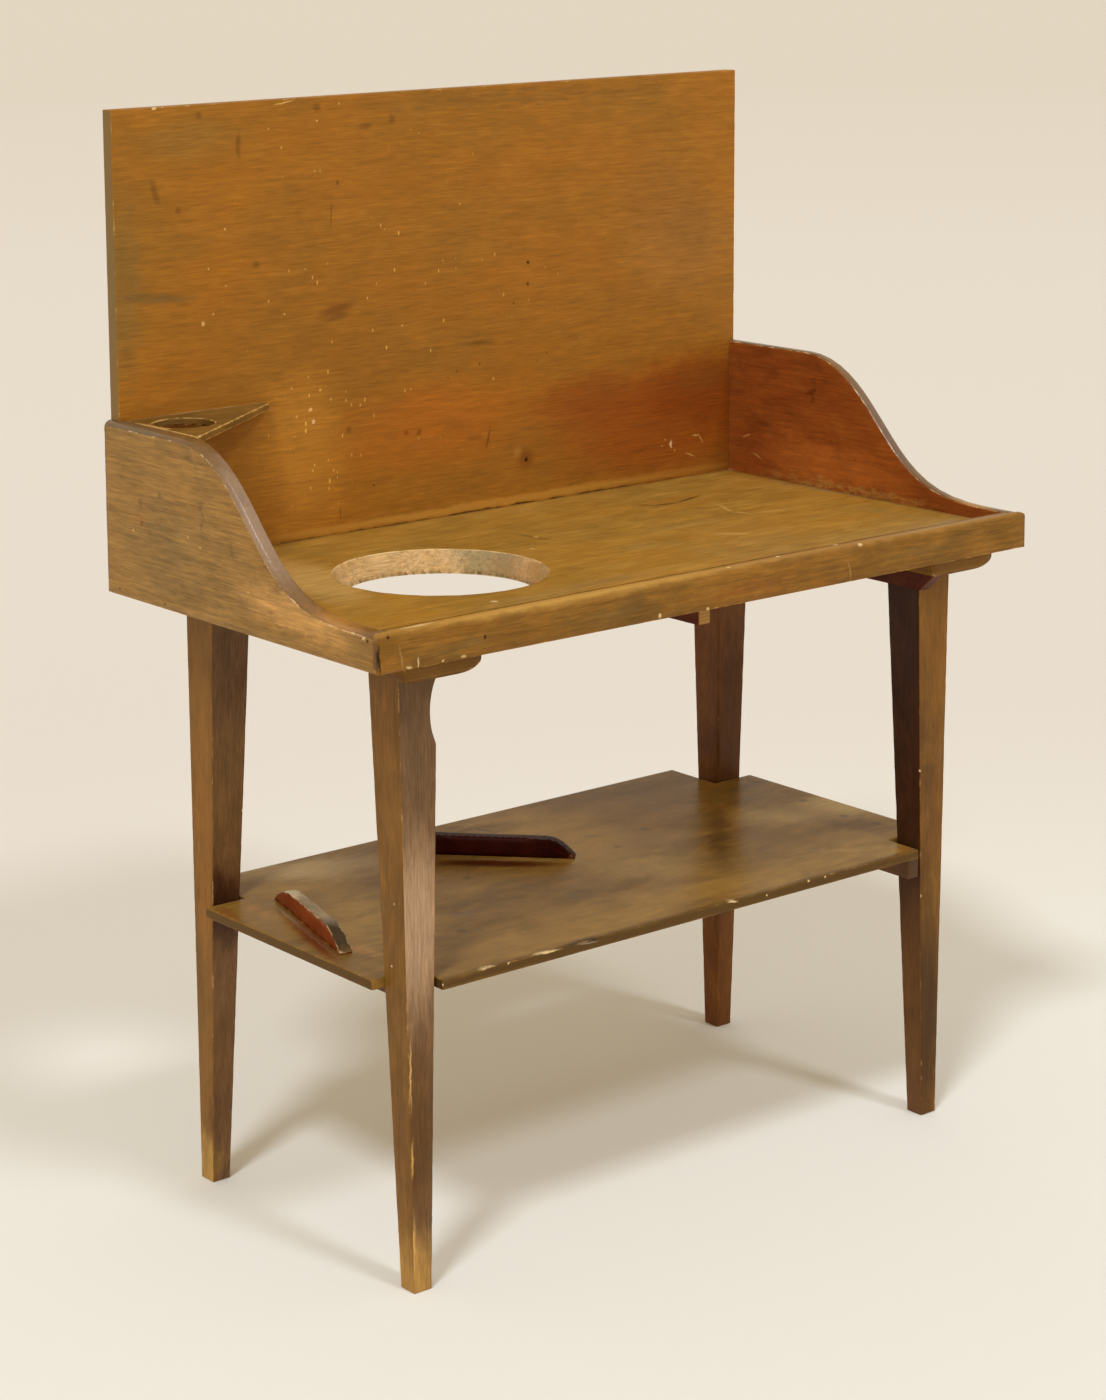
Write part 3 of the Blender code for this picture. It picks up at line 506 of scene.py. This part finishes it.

# ---------------------------------------------------------------------------------------------
# Side boards. Two pine boards sawn to an ogee, their top edges rounded over with a plane and
# polished by hands to a gloss, with a greyish highlight painted along them. The left one is
# paler outside, the right one redder.

# Planed pine, its stain thinned to a greyish gold with plain dark fibres.
left_side_pine = old_pine(
    "stained_pine_left_side", "y", ("87693a", "9a7238", "ab8144"),
    washes=(
        ("d3a05c", 0.7, (("x", -480, -106, 741, 130.4, 30, 6),)),
        ("b38347", 0.4, (("x", -480, -119, 787, 31.1, 30, -89),)),
        ("5f5230", 0.5, (("x", -480, 59, 817, 39.3, 7, 79), ("x", -480, 1, 789, 23.1, 7, 41))),
        ("5f5230", 0.4, (("x", -480, 80, 881, 30.7, 8, 17),)),
        ("b3702e", 0.5, (("x", -480, 186, 797, 26.1, 7, -9),)),
    ),
    marks=(
        ("3a2412", 0.35, (
            ("x", -480, 181, 815, 5, 5, 0), ("x", -480, 142, 829, 4, 4, 0),
            ("x", -480, 180, 793, 4, 4, 0))),
        ("dcb265", 0.75, (
            ("x", -480, 197, 781, 2, 2, 0), ("x", -480, 65, 783, 1.8, 1.8, 0),
            ("x", -480, 88, 790, 1.6, 1.6, 0), ("x", -480, -25, 749, 1.8, 1.8, 0))),
        ("22140a", 0.75, (("x", -480, 229, 709, 2, 2, 0), ("x", -480, 137, 708, 2, 2, 0))),
        ("e8cb92", 0.75, (("x", -480, -228, 737, 3, 3, 0),)),
        ("22140a", 0.9, (("x", -480, -235, 735, 2.2, 2.2, 0),)),
    ),
    grime=("6f5c3c", 0.35), worn=("cf9f66", 0.4), figure=1.0, line=1.0, rough=0.42, shine=0.14,
    shift=7.9)
# The same board with its red stain whole, warm and nearly even.
right_side_pine = old_pine(
    "red_pine_right_side", "y", ("84421c", "96511f", "a86226"),
    washes=(
        ("ba6c2c", 0.9, (("x", 463, 59, 759, 154.9, 40, 2),)),
        ("4a2210", 0.55, (("x", 463, 84, 851, 23.7, 9, -90),)),
        ("bb8a45", 0.7, (("x", 463, 20, 734, 200, 9, 0),)),
    ),
    marks=(
        ("dcb265", 0.5, (("x", 463, 201, 778, 8.4, 1.2, -24), ("x", 463, 181, 754, 9.1, 1.2, 21))),
        ("cdb890", 0.75, (("x", 463, 228, 728, 10.6, 3, 6),)),
    ),
    grime=("5f3214", 0.35), worn=("b8823f", 0.4), line=0.8, rough=0.42, shine=0.12, shift=8.6)
# Rounded edges that hands have polished: smooth, with the clearest gloss of all, and a
# greyish highlight painted along each rounding.
hand_worn_edge_and_highlight = old_pine(
    "hand_polished_ogee_edge_and_painted_highlight", "y", ("6b4c28", "7d5a30", "916c3e"),
    washes=(
        # painted highlight along the left rounding
        ("9c8169", 0.85, (("z", -471, -14, 808, 40, 125, 0),)),
        # painted highlight along the right rounding
        ("745c49", 0.85, (("z", 471, -20, 808, 40, 110, 0),)),
        ("b5803f", 0.85, (("z", -471, -175, 752, 40, 62, 0), ("z", 471, -185, 752, 40, 50, 0))),
        ("6c5a40", 0.7, (("z", -471, 190, 899, 40, 80, 0), ("z", 471, 190, 899, 40, 80, 0))),
    ),
    grime=("4c3824", 0.35), worn=("e2c498", 0.55), figure=0.3, rough=0.24, shine=0.4, shift=10.1)


def on_rounded_edge(middle, normal):
    return normal.z > 0.12 and abs(normal.x) < 0.93


for name, finish in (("side_board_left", left_side_pine), ("side_board_right", right_side_pine)):
    worn_piece(name, finish, other=hand_worn_edge_and_highlight, where=on_rounded_edge)

# ---------------------------------------------------------------------------------------------
# Front rail. A low pine lip nailed along the front of the tray and over the side boards' ends.
# Sleeves and wet hands have worn its upper edge down to golden wood.

# Planed pine, brown and low in gloss, golden where it is rubbed and nicked pale below.
rail_pine = old_pine(
    "stained_pine_rail", "x", ("76541f", "8c5d1c", "9f702a"),
    washes=(
        ("6c5930", 0.45, (("y", -379, -253, 716, 73.6, 14, 1),)),
        ("6c5930", 0.4, (("y", -166, -253, 720, 83, 12, 1), ("y", 309, -253, 720, 78, 12, 0))),
        ("8c4f22", 0.4, (("y", 32, -253, 715, 95.3, 12, 1),)),
    ),
    marks=(
        ("cfa050", 0.8, (("z", -220, -246, 744, 330, 9, 0),)),
        ("b98a45", 0.6, (("z", 230, -246, 744, 330, 8, 0),)),
        ("1c120a", 0.9, (("y", -479, -253, 718, 18, 1.6, 90),)),
        ("b08b55", 0.5, (
            ("y", -451, -253, 716, 15.3, 1.2, 80), ("y", 188, -253, 715, 14.7, 1.2, 77))),
        ("e8cb92", 0.75, (
            ("y", -429, -253, 708, 6.4, 1.2, -89), ("y", -441, -253, 705, 4.1, 1.5, 9),
            ("y", -398, -253, 705, 2, 1.3, -13), ("y", -370, -253, 705, 4, 1.3, -2),
            ("z", -423, -245, 744, 22.5, 3, 2))),
        ("22140a", 0.9, (("y", -467, -253, 740, 2.4, 2.4, 0), ("y", -342, -253, 721, 2.4, 2.4, 0))),
        ("e8cb92", 0.9, (
            ("y", -99, -253, 706, 2.5, 2.5, 0), ("y", -30, -253, 703, 2.5, 2.5, 0),
            ("z", 179, -238, 744, 4, 4, 0), ("z", 205, -252, 744, 3.5, 3.5, 0),
            ("z", 86, -242, 744, 3, 3, 0), ("z", 5, -248, 744, 3, 3, 0))),
    ),
    grime=("5b4424", 0.4), worn=("cfa050", 0.45), ends=("71503c", 0.8), figure=0.8, line=0.9,
    rough=0.42, shine=0.12, shift=9.4)
worn_piece("front_rail", rail_pine)

# ---------------------------------------------------------------------------------------------
# Corner shelf. A thin three-cornered pine board let in behind the left side board, with a hole
# for a cup.

# Thin planed pine, dark brown and dull, with all its edges rubbed golden.
corner_pine = old_pine(
    "stained_pine_corner_shelf", "x", ("6b4c1f", "846029", "9e7636"),
    marks=(("cdbb98", 0.8, (("z", -350, 234, 899, 95, 2.5, 0),)),),
    grime=("54401f", 0.4), worn=("d3a65c", 0.85), line=0.8, rough=0.4, shine=0.15, shift=11.2)
worn_piece("corner_shelf", corner_pine)

# ---------------------------------------------------------------------------------------------
# Lower shelf. One thin wide pine board notched round the legs and nailed to its battens. Its
# top has kept most of its varnish and shines softly.

# Varnished pine: smoother than the rest, so it throws the light back in a broad soft sheen.
# Three dark stripes on its top are painted reflections, of the back right leg and of the two
# guide strips.
shelf_pine = old_pine(
    "varnished_pine_shelf", "x", ("7d5c28", "967030", "aa823d"),
    washes=(
        ("c6aa78", 0.65, (("z", -238, 188, 343, 156, 60, -26),)),
        ("bd9850", 0.6, (("z", 79, -55, 343, 121.7, 70, -17),)),
        ("c8a868", 0.7, (("z", 398, -15, 343, 168.4, 70, -15),)),
        ("5f4c26", 0.5, (("z", -66, -81, 343, 61.7, 26, 10),)),
        ("b98243", 0.55, (("z", -386, 97, 343, 49, 16, -88),)),
        ("b98243", 0.5, (("z", -376, -77, 343, 39.3, 14, -76),)),
        ("b08a4a", 0.5, (("z", 293, -153, 343, 71.9, 12, -27),)),
        ("8a4a22", 0.45, (("z", -419, 118, 343, 46.9, 14, 81),)),
        ("8a4a22", 0.5, (("z", 346, -198, 343, 20.9, 8, -37),)),
        ("6d6a62", 0.4, (("z", -215, -48, 343, 21.8, 10, -21),)),
        # painted reflection of the back right leg
        ("4a2814", 0.45, (("z", 224, -3, 343, 197.5, 20, 48),)),
        ("9a7a42", 0.35, (("z", 39, -38, 343, 104.1, 22, -64),)),
        ("6a4420", 0.35, (("z", 14, -196, 343, 116.3, 16, 5),)),
    ),
    marks=(
        ("513b20", 0.9, (("y", 0, -208, 338, 900, 9, 0),)),
        ("3b2c18", 0.5, (
            ("z", -10, 197, 343, 16.3, 3.6, 1), ("z", 6, 182, 343, 18.7, 3.6, -79),
            ("z", 17, 191, 343, 11.4, 2.8, -38), ("z", 90, 80, 343, 13.1, 3.6, -13),
            ("z", -251, -95, 343, 8, 8, 0), ("z", 88, 28, 343, 6, 6, 0),
            ("z", 160, 61, 343, 6, 6, 0), ("z", 394, 25, 343, 6, 6, 0),
            ("z", 387, -53, 343, 6, 6, 0), ("z", 394, -103, 343, 6, 6, 0),
            ("z", 408, 122, 343, 6, 6, 0))),
        ("3b2c18", 0.35, (("z", -128, 48, 343, 8, 8, 0),)),
        ("e8cb92", 0.9, (
            ("y", -304, -208, 343, 12.7, 1, 3), ("y", -223, -208, 342, 20.2, 1.2, 1),
            ("y", 54, -208, 342, 8.3, 1.3, 7), ("y", 174, -208, 342, 1.8, 1.8, 0),
            ("y", 200, -208, 342, 1.6, 1.6, 0), ("y", 106, -208, 339, 1.6, 1.6, 0))),
        ("3f3320", 0.9, (("y", -167, -208, 343, 31.1, 2.4, 1),)),
        ("a2957c", 0.75, (("y", -165, -208, 341, 16.6, 0.8, 2),)),
        ("b9ab8c", 0.75, (("z", -385, 17, 343, 95.1, 2.8, 75),)),
        ("a08a68", 0.75, (("z", -51, 75, 343, 82.7, 2, -44),)),
        # painted reflection of the left guide strip
        ("6e2a10", 0.75, (("z", -394, -9, 343, 87, 11, 73),)),
        # painted reflection of the right guide strip
        ("4a180b", 0.9, (("z", -68, 70, 343, 90.6, 15, -42),)),
    ),
    grime=("5a4a2a", 0.4), worn=("a07a44", 0.35), ends=("573f22", 0.9), line=0.8, rough=0.24,
    shine=0.05, shift=13.6)
worn_piece("lower_shelf", shelf_pine)
# Sawn pine in the shade of the shelf, dark and dull.
batten_pine = old_pine(
    "dark_pine_battens", "y", ("4a2f19", "66462a", "745230"),
    grime=("3c2a1b", 0.5), worn=("a27742", 0.5), shift=15.2)
for name in ("shelf_batten_left", "shelf_batten_right"):
    worn_piece(name, batten_pine)

# ---------------------------------------------------------------------------------------------
# Guide strips. Two short strips glued on the shelf at an angle to keep a pail in its place,
# with rounded tops and long sloping ends. They have kept a dark red varnish.

# Red varnish over pine, smooth and half bright.
left_strip_pine = old_pine(
    "red_varnished_left_strip", "y", ("6f2c0d", "843a12", "96491b"),
    washes=(("54230f", 0.7, (("x", -365, -60, 344, 60, 10, 0),)),),
    grime=("4c2410", 0.3), worn=("c2a27a", 0.5), rough=0.28, shine=0.15, shift=17.7)
# The strip's top, where a pail has rubbed the varnish off: olive brown, pale in the middle.
strip_top_pine = old_pine(
    "worn_olive_left_strip_top", "y", ("6e5730", "8a6d3c", "a58a58"),
    washes=(
        ("dcc79c", 0.9, (("z", -362, 84, 366, 30, 36, 0),)),
        ("3e3020", 0.9, (("z", -390, -50, 356, 40, 46, 0),)),
    ),
    grime=("4a3a22", 0.4), worn=("cdb488", 0.6), rough=0.3, shine=0.2, shift=16.4)
# The same varnish, thick and nearly black.
right_strip_pine = old_pine(
    "dark_varnished_right_strip", "x", ("260b08", "36100a", "4a1a0d"),
    grime=("1e0805", 0.4), worn=("8a5a34", 0.15), rough=0.35, shine=0.03, shift=18.9)


def on_top(middle, normal):
    return normal.z > 0.3


worn_piece("guide_strip_left", left_strip_pine, rub=0.2, step=6,
           other=strip_top_pine, where=on_top)
worn_piece("guide_strip_right", right_strip_pine, rub=0.2, step=6)

# ---------------------------------------------------------------------------------------------
# Studio. A plain pale floor of matt paper that runs on behind the washstand, and two broad
# soft lamps, one on each side of the camera.

# Matt paper, with hardly any gloss. It greys a little with distance from the washstand's
# front: a painted fall-off of the lamps' light.
paper = bpy.data.materials.new("pale_paper")
paper.use_nodes = True
sheet = paper.node_tree
lit = sheet.nodes["Principled BSDF"]
spot_on_floor = add(sheet, "TexCoord").outputs["Object"]
middle = add(sheet, "VectorMath", {0: spot_on_floor, 1: (-0.2, -1.1, 0.0)}, operation="DISTANCE")
share = add(sheet, "MapRange", {0: middle.outputs["Value"], 1: 0.6, 2: 3.6},
            interpolation_type="SMOOTHERSTEP")
tint = add(sheet, "Mix", {0: share, 6: linear("f5f5ee"), 7: linear("e8e3da")}, data_type="RGBA")
share = add(sheet, "MapRange", {0: middle.outputs["Value"], 1: 5.0, 2: 20.0})
tint = add(sheet, "Mix", {0: share, 6: tint, 7: linear("e1dacd")}, data_type="RGBA")
sheet.links.new(tint.outputs[2], lit.inputs["Base Color"])
lit.inputs["Roughness"].default_value = 0.95
lit.inputs["Specular IOR Level"].default_value = 0.1
floor_mesh = bpy.data.meshes.new("floor")
reach = 60  # metres each way, so that no view sees an end of the paper
corners = [(-reach, -reach, 0), (reach, -reach, 0), (reach, reach, 0), (-reach, reach, 0)]
floor_mesh.from_pydata(corners, [], [(0, 1, 2, 3)])
floor_mesh.materials.append(paper)
floor = bpy.data.objects.new("floor", floor_mesh)
bpy.context.scene.collection.objects.link(floor)

# Each lamp: name, bearing from the front, height angle, strength, softness, in degrees.
for name, bearing, height, strength, softness in (("lamp_left", -61, 53, 1.25, 10),
                                                  ("lamp_right", 8, 49, 0.75, 10)):
    data = bpy.data.lights.new(name, "SUN")
    data.energy = strength
    data.color = linear("f1f6ff")[:3]
    data.angle = math.radians(softness)
    lamp = bpy.data.objects.new(name, data)
    lamp.rotation_euler = (math.radians(90 - height), 0, math.radians(bearing))
    bpy.context.scene.collection.objects.link(lamp)

# The room's pale walls give most light from low down and little from overhead. Seen straight
# on or in a gloss, they are one plain pale tone.
world = bpy.data.worlds.new("studio")
bpy.context.scene.world = world
world.use_nodes = True
sky = world.node_tree
ray_way = add(sky, "SeparateXYZ", {0: add(sky, "TexCoord").outputs["Generated"]})
wall = add(sky, "MapRange", {0: ray_way.outputs["Z"], 1: 0.0, 2: 0.55, 3: 1.45, 4: 0.50})
sky.nodes["Background"].inputs["Color"].default_value = linear("fbeacf")
sky.links.new(wall.outputs[0], sky.nodes["Background"].inputs["Strength"])
seen = add(sky, "Background", {"Color": linear("e4dac8"), "Strength": 1.0})
ray = add(sky, "LightPath")
either = add(sky, "Math", {0: ray.outputs["Is Camera Ray"], 1: ray.outputs["Is Glossy Ray"]},
             operation="MAXIMUM")
either = add(sky, "Math", {0: either, 1: ray.outputs["Is Transmission Ray"]}, operation="MAXIMUM")
choose = add(sky, "MixShader", {0: either, 1: sky.nodes["Background"], 2: seen})
sky.links.new(choose.outputs[0], sky.nodes["World Output"].inputs["Surface"])

# The camera stands to the left of the washstand's front, a little over its height. Its frame
# is shifted some way down and to the right of where the lens points, as the photograph's is.
eye = bpy.data.cameras.new("camera")
eye.lens = 81.506  # mm, on a frame 36 mm high
eye.sensor_width = 36
eye.shift_x = 0.14857
eye.shift_y = -0.18571
camera = bpy.data.objects.new("camera", eye)
swing, pitch, roll = (math.radians(angle) for angle in (-36.4822, 10.0072, -0.8781))
camera.matrix_world = (
    Matrix.Translation((-2.3481, -2.7279, 1.4910))
    @ Matrix.Rotation(swing, 4, "Z")
    @ Matrix.Rotation(math.radians(90) - pitch, 4, "X")
    @ Matrix.Rotation(roll, 4, "Z")
)
bpy.context.scene.collection.objects.link(camera)
bpy.context.scene.camera = camera
bpy.context.scene.view_settings.view_transform = "Standard"
